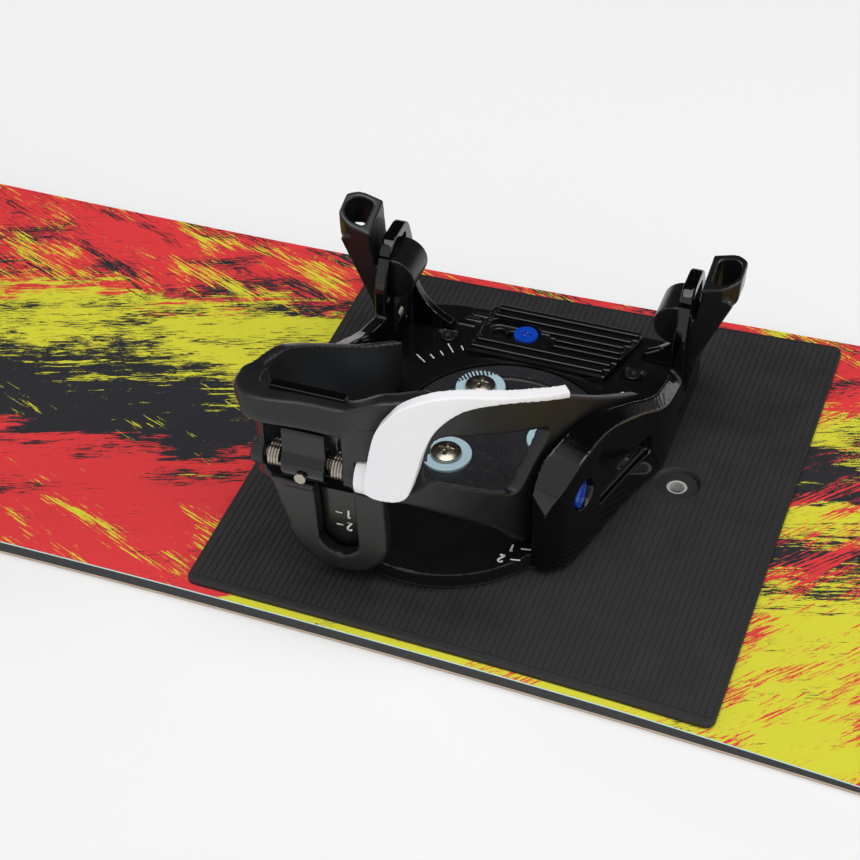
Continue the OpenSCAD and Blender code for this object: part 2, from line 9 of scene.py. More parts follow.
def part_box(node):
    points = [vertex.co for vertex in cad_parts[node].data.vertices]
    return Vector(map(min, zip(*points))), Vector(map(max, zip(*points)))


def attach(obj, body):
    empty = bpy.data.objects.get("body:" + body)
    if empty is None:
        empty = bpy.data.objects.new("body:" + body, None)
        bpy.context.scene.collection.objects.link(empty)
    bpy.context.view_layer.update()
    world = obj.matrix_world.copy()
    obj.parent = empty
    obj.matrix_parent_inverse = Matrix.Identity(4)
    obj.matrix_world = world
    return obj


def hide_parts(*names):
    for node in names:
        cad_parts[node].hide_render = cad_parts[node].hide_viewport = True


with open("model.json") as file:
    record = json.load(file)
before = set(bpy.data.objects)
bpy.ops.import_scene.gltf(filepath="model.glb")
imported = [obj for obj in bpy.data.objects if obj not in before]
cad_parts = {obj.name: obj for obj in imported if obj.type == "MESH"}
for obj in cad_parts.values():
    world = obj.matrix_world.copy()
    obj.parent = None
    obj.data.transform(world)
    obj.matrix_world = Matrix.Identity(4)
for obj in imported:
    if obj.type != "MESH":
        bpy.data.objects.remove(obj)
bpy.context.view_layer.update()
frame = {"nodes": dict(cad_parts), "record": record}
record = frame["record"]
nodes = frame["nodes"]

# ---- Camera, floor and light ----
# The board lies on a pale studio floor and is seen from above its heel edge with a long lens.
# One broad softbox hangs over it and two stand at its sides, so gloss plastic shows long pale bands.
camera = bpy.data.objects.new("camera", bpy.data.cameras.new("camera"))
bpy.context.scene.collection.objects.link(camera)
bpy.context.scene.camera = camera
camera.data.lens = 96.03
camera.data.sensor_width = 36
camera.data.clip_start = 0.01
turn, tilt, roll = math.radians(20.15), math.radians(41.22), math.radians(-1.1)
level = Vector((math.cos(turn), math.sin(turn), 0))
ahead = Vector((-math.sin(turn) * math.cos(tilt), math.cos(turn) * math.cos(tilt), -math.sin(tilt)))
above = level.cross(ahead)
right = math.cos(roll) * level + math.sin(roll) * above
up = math.cos(roll) * above - math.sin(roll) * level
camera.matrix_world = Matrix.Translation((0.39007, -0.63835, 0.60827)) @ Matrix(
    (right, up, -ahead)).transposed().to_4x4()
bpy.context.scene.view_settings.view_transform = "Standard"


def linear(colour):
    """The linear colour that a shader takes, from an sRGB hex value."""
    parts = [int(colour[i:i + 2], 16) / 255 for i in (1, 3, 5)]
    return tuple(p / 12.92 if p <= 0.04045 else ((p + 0.055) / 1.055) ** 2.4 for p in parts) + (1,)


def add(tree, kind, inputs=None, **settings):
    """Adds one node with its settings, and links or sets its inputs."""
    node = tree.nodes.new(kind)
    for name, value in settings.items():
        setattr(node, name, value)
    for name, value in (inputs or {}).items():
        if isinstance(value, bpy.types.NodeSocket):
            tree.links.new(value, node.inputs[name])
        else:
            node.inputs[name].default_value = value
    return node


def new_finish(name, colour, roughness, **shader_inputs):
    """A material with one Principled shader, and the place on the object in metres."""
    material = bpy.data.materials.new(name)
    material.use_nodes = True
    tree = material.node_tree
    shader = tree.nodes["Principled BSDF"]
    shader.inputs["Base Color"].default_value = linear(colour)
    shader.inputs["Roughness"].default_value = roughness
    for key, value in shader_inputs.items():
        shader.inputs[key].default_value = value
    place = add(tree, "ShaderNodeTexCoord").outputs["Object"]
    return material, tree, shader, place


paper = new_finish("studio_paper", "#F4F4F4", 0.9)[0]
floor_mesh = bpy.data.meshes.new("floor")
floor_mesh.from_pydata([(-8, -8, -0.0004), (8, -8, -0.0004), (8, 8, -0.0004), (-8, 8, -0.0004)],
                       [], [(0, 1, 2, 3)])
floor = bpy.data.objects.new("floor", floor_mesh)
floor.data.materials.append(paper)
bpy.context.scene.collection.objects.link(floor)

world = bpy.data.worlds.new("studio")
world.use_nodes = True
backdrop = world.node_tree.nodes["Background"]
backdrop.inputs["Strength"].default_value = 0.8
# A black screen stands opposite the camera, so flat gloss plastic mirrors it and stays dark
way_out = add(world.node_tree, "ShaderNodeTexCoord").outputs["Generated"]
to_screen = add(world.node_tree, "ShaderNodeVectorMath", {0: way_out, 1: (-0.26, 0.71, 0.65)},
                operation="DOT_PRODUCT")
screen = add(world.node_tree, "ShaderNodeMapRange",
             {0: to_screen.outputs["Value"], 1: 0.2, 2: 0.6, 3: 1, 4: 0.03}, interpolation_type="SMOOTHSTEP")
world.node_tree.links.new(screen.outputs[0], backdrop.inputs["Color"])
bpy.context.scene.world = world
for name, place, aim, size, watts in (
        ("overhead", (0.25, -0.2, 2.3), (0.15, 0.1, 0), 1.8, 34),
        ("left_box", (-1.5, 0.3, 1.0), (0.15, 0, 0.03), 0.7, 5),
        ("right_box", (1.6, 0.1, 0.9), (0.15, 0, 0.03), 0.5, 4)):
    lamp = bpy.data.objects.new(name, bpy.data.lights.new(name, "AREA"))
    lamp.data.shape = "SQUARE"
    lamp.data.size = size
    lamp.data.energy = watts
    lamp.matrix_world = Matrix.Translation(place) @ (
        Vector(place) - Vector(aim)).to_track_quat("Z", "Y").to_matrix().to_4x4()
    bpy.context.scene.collection.objects.link(lamp)



def dress(node, material):
    """Gives a CAD node that stays visible its finish."""
    nodes[node].data.materials.clear()
    nodes[node].data.materials.append(material)


body_of = {node: body for body, members in record["behaviour"]["bodies"].items() for node in members}
stance = (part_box("front_disc")[0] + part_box("front_disc")[1]) / 2
pad_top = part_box("front_pad")[1].z


def show(name, mesh, material, node, smooth_deg=None):
    """Shows a finished mesh in place of a CAD node, on that node's body."""
    mesh.materials.clear()
    mesh.materials.append(material)
    piece = bpy.data.objects.new(name, mesh)
    bpy.context.scene.collection.objects.link(piece)
    if smooth_deg is not None:
        mesh.shade_smooth()
        mesh.set_sharp_from_angle(angle=math.radians(smooth_deg))
    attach(piece, body_of[node])
    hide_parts(node)
    return piece


# ---- Board: base, steel edges, core and sidewall ----
# A laminated twin-tip board: black sintered base, ground steel edges and an ABS sidewall round a wood core.
# The layers are pressed together, so they share one outline and one curve at the raised tips.
board_half = 0.5
flat_half, rise_radius = 0.35, 0.34
waist, sidecut = 0.21, 4.94
tip_start = board_half - 0.12
core_t, end_t, sheet_t, base_t = 0.006, 0.0042, 0.0006, 0.0012
taper_from = 0.265
wall_foot, wall_w, edge_w = 0.0009, 0.005, 0.0022


def half_width(x):
    return waist / 2 + sidecut - math.sqrt(sidecut ** 2 - x * x)


tip_half = half_width(tip_start)
nose_points = [(0, tip_half), (0.018, tip_half + 0.0009), (0.042, tip_half - 0.0055), (0.074, 0.092),
               (0.1, 0.066), (0.115, 0.035), (0.12, 0)]


def curve_through(points, steps):
    """Points of a smooth curve that passes through the given ones."""
    found = []
    for i in range(len(points) - 1):
        a, b, c, d = (Vector(points[min(max(i + k, 0), len(points) - 1)]) for k in (-1, 0, 1, 2))
        for k in range(steps):
            t = k / steps
            found.append(0.5 * (2 * b + t * (c - a) + t * t * (2 * a - 5 * b + 4 * c - d)
                                + t ** 3 * (3 * b - a - 3 * c + d)))
    return found + [Vector(points[-1])]


nose_loop = curve_through([(x, -y) for x, y in nose_points]
                          + [(x, y) for x, y in reversed(nose_points[:-1])], 8)
side_xs = [-tip_start + 0.01 * i for i in range(round(2 * tip_start / 0.01) + 1)]
edge_loop = ([Vector((x, -half_width(x))) for x in side_xs]
             + [Vector((p.x + tip_start, p.y)) for p in nose_loop[1:-1]]
             + [Vector((x, half_width(x))) for x in reversed(side_xs)]
             + [Vector((-p.x - tip_start, -p.y)) for p in nose_loop[1:-1]])


def inset_loop(inset):
    """The board's edge moved inwards."""
    moved = []
    for i, point in enumerate(edge_loop):
        along = (edge_loop[(i + 1) % len(edge_loop)] - edge_loop[i - 1]).normalized()
        moved.append(point + inset * Vector((-along.y, along.x)))
    return moved


def rise(x):
    return 0 if abs(x) < flat_half else rise_radius - math.sqrt(rise_radius ** 2 - (abs(x) - flat_half) ** 2)


def thickness(x):
    return core_t - (core_t - end_t) * min(max((abs(x) - taper_from) / (flat_half - taper_from), 0), 1)


def ring_mesh(name, section):
    """A closed ring round the board, from a section of (inset, height at x) corners."""
    loops = [[Vector((p.x, p.y, rise(p.x) + height(p.x))) for p in inset_loop(inset)]
             for inset, height in section]
    count = len(edge_loop)
    faces = [(i * count + j, ((i + 1) % len(loops)) * count + j,
              ((i + 1) % len(loops)) * count + (j + 1) % count, i * count + (j + 1) % count)
             for i in range(len(loops)) for j in range(count)]
    mesh = bpy.data.meshes.new(name)
    mesh.from_pydata([p for loop in loops for p in loop], [], faces)
    return outward(mesh)


def outward(mesh):
    """Merges the mesh's doubles and turns its faces outwards."""
    shape = bmesh.new()
    shape.from_mesh(mesh)
    bmesh.ops.remove_doubles(shape, verts=shape.verts, dist=1e-7)
    bmesh.ops.recalc_face_normals(shape, faces=shape.faces)
    shape.to_mesh(mesh)
    shape.free()
    return mesh


def plate_mesh(name, inset, low, high, columns=15):
    """A closed plate inside the board's outline, between two heights above the base's curve."""
    loop = inset_loop(inset)
    half_nose = (len(nose_loop) - 2) // 2
    heel_side = loop[:len(side_xs) + half_nose + 1]
    tail = loop[2 * len(side_xs) + len(nose_loop) - 2 + half_nose:]
    path = tail + heel_side
    verts = []
    for face_height in (low, high):
        for p in path:
            for k in range(columns):
                across = -math.cos(math.pi * k / (columns - 1))
                verts.append((p.x, abs(p.y) * across, rise(p.x) + face_height(p.x)))
    rows, layer = len(path), len(path) * columns
    faces = []
    for i in range(rows - 1):
        for k in range(columns - 1):
            a = i * columns + k
            faces.append((a, a + 1, a + columns + 1, a + columns))
            faces.append((layer + a, layer + a + columns, layer + a + columns + 1, layer + a + 1))
        for k in (0, columns - 1):
            a = i * columns + k
            faces.append((a, a + columns, layer + a + columns, layer + a))
    for i in (0, rows - 1):
        for k in range(columns - 1):
            a = i * columns + k
            faces.append((a, layer + a, layer + a + 1, a + 1))
    mesh = bpy.data.meshes.new(name)
    mesh.from_pydata(verts, [], faces)
    return outward(mesh)


# Sintered polyethylene: ground in fine lines along the board, dull with a waxy sheen
base_finish, tree, shader, place = new_finish("sintered_base", "#1B1B1D", 0.42)
lines = add(tree, "ShaderNodeMapping", {"Vector": place, "Scale": (20, 1600, 20)})
grind = add(tree, "ShaderNodeTexNoise", {"Vector": lines.outputs[0], "Scale": 1, "Detail": 3})
shine = add(tree, "ShaderNodeMapRange", {0: grind.outputs[0], 3: 0.34, 4: 0.52})
tree.links.new(shine.outputs[0], shader.inputs["Roughness"])
bump = add(tree, "ShaderNodeBump", {"Height": grind.outputs[0], "Strength": 0.2, "Distance": 0.00005})
tree.links.new(bump.outputs[0], shader.inputs["Normal"])
show("board_base", plate_mesh("board_base", edge_w, lambda x: 0, lambda x: base_t), base_finish,
     "base_sheet", 25)

# Ground tool steel: fine lines along the edge and small dull spots
edge_finish, tree, shader, place = new_finish("edge_steel", "#B9AE9C", 0.4, Metallic=0.6)
lines = add(tree, "ShaderNodeMapping", {"Vector": place, "Scale": (60, 900, 2500)})
grind = add(tree, "ShaderNodeTexNoise", {"Vector": lines.outputs[0], "Scale": 1, "Detail": 4})
tint = add(tree, "ShaderNodeValToRGB", {0: grind.outputs[0]})
tint.color_ramp.elements[0].color, tint.color_ramp.elements[1].color = linear("#B58F63"), linear("#E4DACA")
tree.links.new(tint.outputs[0], shader.inputs["Base Color"])
bump = add(tree, "ShaderNodeBump", {"Height": grind.outputs[0], "Strength": 0.3, "Distance": 0.00005})
tree.links.new(bump.outputs[0], shader.inputs["Normal"])
show("board_edges", ring_mesh("board_edges", [
    (0.0001, lambda x: 0.00005), (0, lambda x: 0.0002), (0, lambda x: wall_foot),
    (edge_w, lambda x: wall_foot), (edge_w, lambda x: 0.00005)]), edge_finish, "steel_edge", 25)

# ABS sidewall: sawn and sanded, dull black with faint vertical tool marks
wall_finish, tree, shader, place = new_finish("sanded_abs", "#222326", 0.55)
marks = add(tree, "ShaderNodeMapping", {"Vector": place, "Scale": (700, 700, 60)})
sanding = add(tree, "ShaderNodeTexNoise", {"Vector": marks.outputs[0], "Scale": 1, "Detail": 3})
shine = add(tree, "ShaderNodeMapRange", {0: sanding.outputs[0], 3: 0.45, 4: 0.68})
tree.links.new(shine.outputs[0], shader.inputs["Roughness"])
bump = add(tree, "ShaderNodeBump", {"Height": sanding.outputs[0], "Strength": 0.3, "Distance": 0.00008})
tree.links.new(bump.outputs[0], shader.inputs["Normal"])
show("board_sidewall", ring_mesh("board_sidewall", [
    (0.0001, lambda x: wall_foot), (0.0001, lambda x: thickness(x) - sheet_t),
    (wall_w, lambda x: thickness(x) - sheet_t), (wall_w, lambda x: base_t), (edge_w, lambda x: base_t),
    (edge_w, lambda x: wall_foot)]), wall_finish, "sidewall", 25)

# Poplar core: pale strips glued side by side, sealed inside the board
core_finish, tree, shader, place = new_finish("poplar_core", "#C9A878", 0.6)
staves = add(tree, "ShaderNodeMapping", {"Vector": place, "Scale": (4, 90, 90)})
grain = add(tree, "ShaderNodeTexNoise", {"Vector": staves.outputs[0], "Scale": 2, "Detail": 5})
tint = add(tree, "ShaderNodeValToRGB", {0: grain.outputs[0]})
tint.color_ramp.elements[0].color, tint.color_ramp.elements[1].color = linear("#A98655"), linear("#D9BD90")
tree.links.new(tint.outputs[0], shader.inputs["Base Color"])
dress("wood_core", core_finish)
dress("tip_spacers", wall_finish)

# ---- Topsheet ----
# A clear-coated plastic sheet printed from below with dry brush strokes in red, yellow and graphite.
# The strokes lie 20 degrees off the board's length and break up into bristle marks where the colours meet.
print_finish, tree, shader, place = new_finish("printed_topsheet", "#E2484A", 0.4)
shader.inputs["Specular IOR Level"].default_value = 0.35
stroke_angle = math.radians(20)
mm = add(tree, "ShaderNodeVectorMath", {0: place, "Scale": 1000}, operation="SCALE").outputs[0]
nose_from = 197  # millimetres from the middle, under the front pad
spot = add(tree, "ShaderNodeSeparateXYZ", {0: mm})
along_strokes, falling, rising = (
    add(tree, "ShaderNodeMapping", {"Vector": mm, "Rotation": (0, 0, -angle)}).outputs[0]
    for angle in (stroke_angle, math.radians(-22), math.radians(48)))


def bristles(long_mm, wide_mm, seed, detail=6, rough=0.62, way=along_strokes):
    """Noise drawn out along the strokes: long_mm by wide_mm for each mark."""
    stretched = add(tree, "ShaderNodeMapping", {"Vector": way, "Location": (seed * 13.7, seed * 5.1, 0),
                                                "Scale": (1 / long_mm, 1 / wide_mm, 0)}).outputs[0]
    return add(tree, "ShaderNodeTexNoise", {"Vector": stretched, "Scale": 1, "Detail": detail,
                                            "Roughness": rough, "Distortion": 0.3}).outputs[0]


def maths(operation, a, b=0.0, c=0.0):
    return add(tree, "ShaderNodeMath", {0: a, 1: b, 2: c}, operation=operation).outputs[0]


patches = add(tree, "ShaderNodeTexNoise",
              {"Vector": mm, "Scale": 0.02, "Detail": 4, "Roughness": 0.6}).outputs[0]
band = maths("SUBTRACT", spot.outputs["Y"], maths("MULTIPLY", spot.outputs["X"], 0.13))
band = maths("ADD", band, maths("MULTIPLY_ADD", patches, 64, -32))
share = maths("MULTIPLY_ADD", band, 1 / 300, 0.5)
# Outboard of the pad and along its heel edge the same inks lie in another order
near_edge = maths("LESS_THAN", spot.outputs["Y"], -88)
swap_x = maths("MULTIPLY_ADD", near_edge, 84, maths("MULTIPLY_ADD", bristles(40, 4, 7), 60, -30))
past_pad = maths("GREATER_THAN", maths("ADD", spot.outputs["X"], swap_x), nose_from)


def cover(share, *stops):
    """How fully one ink covers the sheet, across the bands of the print."""
    ramp = add(tree, "ShaderNodeValToRGB", {0: share})
    for i, (place_mm, ink) in enumerate(stops):
        at = (place_mm + 150) / 300
        stop = ramp.color_ramp.elements[i] if i < 2 else ramp.color_ramp.elements.new(at)
        stop.position = at
        stop.color = (ink, ink, ink, 1)
    return ramp.outputs[0]


def brushed(ink_tail, ink_nose, seed):
    """Where an ink lies: its cover against coarse and fine bristle marks."""
    ink = add(tree, "ShaderNodeMix", {"Factor": past_pad, 6: ink_tail, 7: ink_nose},
              data_type="RGBA").outputs[2]
    coarse = maths("MULTIPLY", bristles(60, 6, seed), 0.4)
    middle = maths("MULTIPLY_ADD", bristles(20, 2, seed + 0.3, 5, 0.7), 0.32, coarse)
    fine = maths("MULTIPLY_ADD", bristles(7, 0.55, seed + 0.6, 5, 0.8), 0.28, middle)
    even = add(tree, "ShaderNodeMapRange", {0: fine, 1: 0.38, 2: 0.62}).outputs[0]
    return maths("LESS_THAN", even, ink)


red, yellow, graphite = "#DF3D40", "#DAD63C", "#2E2E32"
yellow_ink = brushed(
    cover(share, (-150, 0.12), (-62, 0.16), (-40, 0.1), (-14, 0.1), (4, 0.6), (22, 0.92), (48, 0.85),
          (64, 0.3), (95, 0.14), (149, 0.1)),
    cover(share, (-150, 0.9), (-84, 0.85), (-66, 0.45), (-56, 0.12), (-44, 0.72), (-32, 0.6), (-24, 0.1),
          (-4, 0.12), (10, 0.62), (32, 0.75), (46, 0.3), (149, 0.1)), 1)
red_ink = brushed(
    cover(share, (-150, 0.97), (-66, 0.95), (-44, 0.6), (-28, 0.05), (-20, 0), (36, 0), (52, 0.55),
          (66, 0.86), (149, 0.93)),
    cover(share, (-150, 0.06), (-60, 0.02), (20, 0.05), (36, 0.5), (48, 0.9), (149, 0.93)), 3)
colours = add(tree, "ShaderNodeMix", {"Factor": yellow_ink, 6: linear(graphite), 7: linear(yellow)},
              data_type="RGBA").outputs[2]
colours = add(tree, "ShaderNodeMix", {"Factor": red_ink, 6: colours, 7: linear(red)},
              data_type="RGBA").outputs[2]


def spattered(under, ink, colour, long_mm, wide_mm, seed, way):
    """The print with short dry marks of one colour over it, thick in some patches and thin in others."""
    clumps = bristles(45, 14, seed + 0.2, 3, 0.5, way)
    fine = maths("MULTIPLY_ADD", clumps, 0.8, bristles(long_mm, wide_mm, seed, 4, 0.75, way))
    even = add(tree, "ShaderNodeMapRange", {0: fine, 1: 0.66, 2: 1.14}).outputs[0]
    return add(tree, "ShaderNodeMix", {"Factor": maths("LESS_THAN", even, ink), 6: under, 7: linear(colour)},
               data_type="RGBA").outputs[2]


on_nose = maths("GREATER_THAN", spot.outputs["X"], nose_from)
dry_graphite = cover(share, (-150, 0.12), (-70, 0.16), (-48, 0.34), (-20, 0.3), (5, 0.36), (44, 0.36),
                     (62, 0.3), (149, 0.1))
colours = spattered(colours, dry_graphite, graphite, 8, 0.7, 9, along_strokes)
toe_marks = cover(share, (-150, 0), (40, 0), (58, 0.3), (84, 0.32), (110, 0.28), (149, 0.3))
colours = spattered(colours, toe_marks, graphite, 14, 1.1, 13, falling)
toe_dashes = cover(share, (-150, 0.27), (-84, 0.2), (-66, 0.04), (-50, 0), (44, 0.08), (60, 0.27),
                   (100, 0.24), (149, 0.16))
colours = spattered(colours, toe_dashes, yellow, 18, 0.9, 17, falling)
red_dashes = maths("MULTIPLY", cover(share, (-150, 0.3), (-60, 0.42), (-20, 0.3), (0, 0.2), (30, 0.4),
                                     (149, 0.3)), on_nose)
colours = spattered(colours, red_dashes, red, 16, 1.0, 21, rising)
# Painted highlight: faces that turn less than half upwards, the sheet's cut side, are coloured pale cyan
facing = add(tree, "ShaderNodeSeparateXYZ",
             {0: add(tree, "ShaderNodeNewGeometry").outputs["Normal"]}).outputs["Z"]
colours = add(tree, "ShaderNodeMix",
              {"Factor": maths("LESS_THAN", facing, 0.5), 6: colours, 7: linear("#C4E8E4")},
              data_type="RGBA").outputs[2]
tree.links.new(colours, shader.inputs["Base Color"])
orange_peel = add(tree, "ShaderNodeTexNoise", {"Vector": place, "Scale": 700, "Detail": 2})
bump = add(tree, "ShaderNodeBump", {"Height": orange_peel.outputs[0], "Strength": 0.08, "Distance": 0.00004})
tree.links.new(bump.outputs[0], shader.inputs["Normal"])
shine = add(tree, "ShaderNodeMapRange", {0: orange_peel.outputs[0], 3: 0.32, 4: 0.44})
tree.links.new(shine.outputs[0], shader.inputs["Roughness"])

# Threaded inserts: turned stainless steel with a bright flat ring
insert_finish, tree, shader, place = new_finish("turned_insert_steel", "#EDEDEA", 0.3, Metallic=0.5)
turning = add(tree, "ShaderNodeTexNoise", {"Vector": place, "Scale": 2500, "Detail": 2})
shine = add(tree, "ShaderNodeMapRange", {0: turning.outputs[0], 3: 0.18, 4: 0.4})
tree.links.new(shine.outputs[0], shader.inputs["Roughness"])
dress("board_inserts", insert_finish)
disc_screws, spare_insert = [(-17, -18), (-17, 24), (19.4, 3)], (70, 3)
hole_cutter = bmesh.new()
for side in (-1, 1):
    for x, y in (*disc_screws, spare_insert):
        hole_at = Matrix.Translation((side * (stance.x + x / 1000), stance.y + y / 1000, 0.012))
        bmesh.ops.create_cone(hole_cutter, cap_ends=True, segments=48, radius1=0.00402, radius2=0.00402,
                              depth=0.02, matrix=hole_at)
cutter_mesh = bpy.data.meshes.new("hole_cutter")
hole_cutter.to_mesh(cutter_mesh)
hole_cutter.free()


def cut(mesh, cutter_mesh):
    """The mesh with the cutter's shape taken out of it."""
    work, cutter = bpy.data.objects.new("work", mesh), bpy.data.objects.new("cutter", cutter_mesh)
    bpy.context.scene.collection.objects.link(work)
    bpy.context.scene.collection.objects.link(cutter)
    boolean = work.modifiers.new("cut", "BOOLEAN")
    boolean.object = cutter
    boolean.operation = "DIFFERENCE"
    boolean.solver = "EXACT"
    bpy.context.view_layer.update()
    result = bpy.data.meshes.new_from_object(work.evaluated_get(bpy.context.evaluated_depsgraph_get()))
    bpy.data.objects.remove(work)
    bpy.data.objects.remove(cutter)
    return result


topsheet = plate_mesh("board_topsheet", 0.0001, lambda x: thickness(x) - sheet_t, thickness, 19)
show("board_topsheet", cut(topsheet, cutter_mesh), print_finish, "topsheet", 25)


def show_pair(mesh, part, material, ending="", smooth_deg=40):
    """Shows a mesh made for the front binding, and its mirror image on the rear one."""
    other = mesh.copy()
    other.transform(Matrix.Diagonal((-1, 1, 1, 1)))
    other.flip_normals()
    show(f"front_{part}{ending}", mesh, material, f"front_{part}", smooth_deg)
    show(f"rear_{part}{ending}", other, material, f"rear_{part}", smooth_deg)


def solid_from(front_node):
    """A merged copy of a CAD node's loose triangles."""
    mesh = nodes[front_node].data.copy()
    shape = bmesh.new()
    shape.from_mesh(mesh)
    bmesh.ops.remove_doubles(shape, verts=shape.verts, dist=2e-6)
    bmesh.ops.dissolve_degenerate(shape, edges=shape.edges, dist=1e-6)
    shape.to_mesh(mesh)
    shape.free()
    return mesh


def moulded(part, voxel_mm, rounding, ending="_moulding", share=1.0):
    """The part's solid with its corners rounded, as a mould leaves them."""
    mesh = solid_from(f"front_{part}")
    work = bpy.data.objects.new("work", mesh)
    bpy.context.scene.collection.objects.link(work)
    grid = work.modifiers.new("grid", "REMESH")
    grid.mode = "VOXEL"
    grid.voxel_size = voxel_mm / 1000
    ease = work.modifiers.new("ease", "SMOOTH")
    ease.factor = 0.5
    ease.iterations = rounding
    if share < 1:
        thin = work.modifiers.new("thin", "DECIMATE")
        thin.ratio = share
    bpy.context.view_layer.update()
    result = bpy.data.meshes.new_from_object(work.evaluated_get(bpy.context.evaluated_depsgraph_get()))
    result.name = f"front_{part}{ending}"
    bpy.data.objects.remove(work)
    return result


def plastic(name, colour, low, high, grain_mm, depth_mm, edge_highlight_colour="#3A3A3D"):
    """Moulded plastic: fine spark grain in the bump and sheen, and a painted highlight that makes its edges a
    little paler.
    """
    material, tree, shader, place = new_finish(name, colour, low)
    grain = add(tree, "ShaderNodeTexNoise",
                {"Vector": place, "Scale": 1000 / grain_mm, "Detail": 3}).outputs[0]
    handling_and_highlight_patches = add(tree, "ShaderNodeTexNoise", {"Vector": place, "Scale": 60, "Detail": 4}).outputs[0]
    shine = add(tree, "ShaderNodeMapRange", {0: handling_and_highlight_patches, 1: 0.3, 2: 0.7, 3: low, 4: high})
    tree.links.new(shine.outputs[0], shader.inputs["Roughness"])
    bump = add(tree, "ShaderNodeBump", {"Height": grain, "Strength": 0.5, "Distance": depth_mm / 1000})
    tree.links.new(bump.outputs[0], shader.inputs["Normal"])
    # Painted highlight: convex edges, found by pointiness, are mixed in patches towards the paler highlight colour
    ridge = add(tree, "ShaderNodeNewGeometry").outputs["Pointiness"]
    painted_edge_highlight = add(tree, "ShaderNodeMapRange", {0: ridge, 1: 0.54, 2: 0.62, 3: 0, 4: 0.6}).outputs[0]
    patchy_edge_highlight = add(tree, "ShaderNodeMath", {0: painted_edge_highlight, 1: handling_and_highlight_patches}, operation="MULTIPLY").outputs[0]
    tint = add(tree, "ShaderNodeMix", {"Factor": patchy_edge_highlight, 6: linear(colour), 7: linear(edge_highlight_colour)}, data_type="RGBA")
    tree.links.new(tint.outputs[2], shader.inputs["Base Color"])
    return material


# ---- Stomp pads ----
# A thin die-cut EVA rubber pad under each binding, ribbed across the board for grip.
# Its ribs are 2.5 mm apart; a plain rim runs round the pad and round the spare insert's hole.
# The last colour given to plastic() is the painted highlight on the part's edges
rubber = plastic("ribbed_rubber", "#1B1B1D", 0.55, 0.72, 0.35, 0.02, "#2A2A2C")
rib_pitch, rib_h = 0.0025, 0.0003
pad_low, pad_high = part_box("front_pad")
pad_edges = [(stance.x + (12 - 101.5 + 203 * i / 24) / 1000) for i in range(25)]
margin = 0.0032
corner_r = 0.0045


def rounded_outline(points, radius, steps=6):
    """A closed outline with each sharp corner turned into a curve."""
    found = []
    for i, here in enumerate(points):
        before, after = points[i - 1] - here, points[(i + 1) % len(points)] - here
        if abs(before.normalized().dot(after.normalized())) > 0.98:
            found.append(here)
            continue
        first, last = here + before.normalized() * radius, here + after.normalized() * radius
        found += [(1 - t) ** 2 * first + 2 * t * (1 - t) * here + t * t * last
                  for t in (k / steps for k in range(steps + 1))]
    return found


def pad_outline(inset):
    low = [Vector((x, margin + inset - half_width(x))) for x in pad_edges]
    high = [Vector((x, half_width(x) - 2 * margin - inset)) for x in reversed(pad_edges)]
    for row, ends in ((low, (0, -1)), (high, (-1, 0))):
        row[ends[0]].x += inset
        row[ends[1]].x -= inset
    return rounded_outline([low[0], *low[2:-2], low[-1], high[0], *high[2:-2], high[-1]], corner_r - inset)


rings = [(0, pad_low.z), (0, pad_high.z - rib_h - 0.0006), (0.0004, pad_high.z - rib_h - 0.0001),
         (0.0009, pad_high.z - rib_h)]
slab = bmesh.new()
loops = [[slab.verts.new((p.x, p.y, z)) for p in pad_outline(inset)] for inset, z in rings]
for lower, upper in zip(loops, loops[1:]):
    for j in range(len(lower)):
        slab.faces.new((lower[j], lower[(j + 1) % len(lower)], upper[(j + 1) % len(lower)], upper[j]))
slab.faces.new(list(reversed(loops[0])))
slab.faces.new(loops[-1])
slab_mesh = bpy.data.meshes.new("pad_slab")
slab.to_mesh(slab_mesh)
slab.free()


def new_tree(name, **inputs):
    """A Geometry Nodes tree with the given inputs and a material, and its input sockets."""
    tree = bpy.data.node_groups.new(name, "GeometryNodeTree")
    for key, kind in inputs.items():
        tree.interface.new_socket(key, in_out="INPUT", socket_type=f"NodeSocket{kind}")
    tree.interface.new_socket("Material", in_out="INPUT", socket_type="NodeSocketMaterial")
    tree.interface.new_socket("Geometry", in_out="OUTPUT", socket_type="NodeSocketGeometry")
    return tree, add(tree, "NodeGroupInput").outputs


def end_tree(tree, geometry, material):
    """Makes the tree's copies real, gives them their material and ends the tree."""
    real = add(tree, "GeometryNodeRealizeInstances", {0: geometry})
    dressed = add(tree, "GeometryNodeSetMaterial", {"Geometry": real.outputs[0], "Material": material})
    add(tree, "NodeGroupOutput", {0: dressed.outputs[0]})


ribs, given = new_tree("pad_ribs", Count="Int", Pitch="Float", Start="Float", Height="Float")
place = add(ribs, "ShaderNodeCombineXYZ", {0: given["Start"], 1: 0, 2: 0})
step = add(ribs, "ShaderNodeCombineXYZ", {0: given["Pitch"], 1: 0, 2: 0})
row = add(ribs, "GeometryNodeMeshLine", {"Count": given["Count"], "Start Location": place.outputs[0],
                                         "Offset": step.outputs[0]})
spine = add(ribs, "GeometryNodeCurvePrimitiveLine", {"Start": (0, -1, 0), "End": (0, 1, 0)})
profile = add(ribs, "GeometryNodeCurvePrimitiveQuadrilateral", mode="TRAPEZOID")
for name, factor in (("Bottom Width", 0.86), ("Top Width", 0.66)):
    width = add(ribs, "ShaderNodeMath", {0: given["Pitch"], 1: factor}, operation="MULTIPLY")
    ribs.links.new(width.outputs[0], profile.inputs[name])
ribs.links.new(given["Height"], profile.inputs["Height"])
profile.inputs["Offset"].default_value = 0
bar = add(ribs, "GeometryNodeCurveToMesh", {"Curve": spine.outputs[0], "Profile Curve": profile.outputs[0],
                                            "Fill Caps": True})
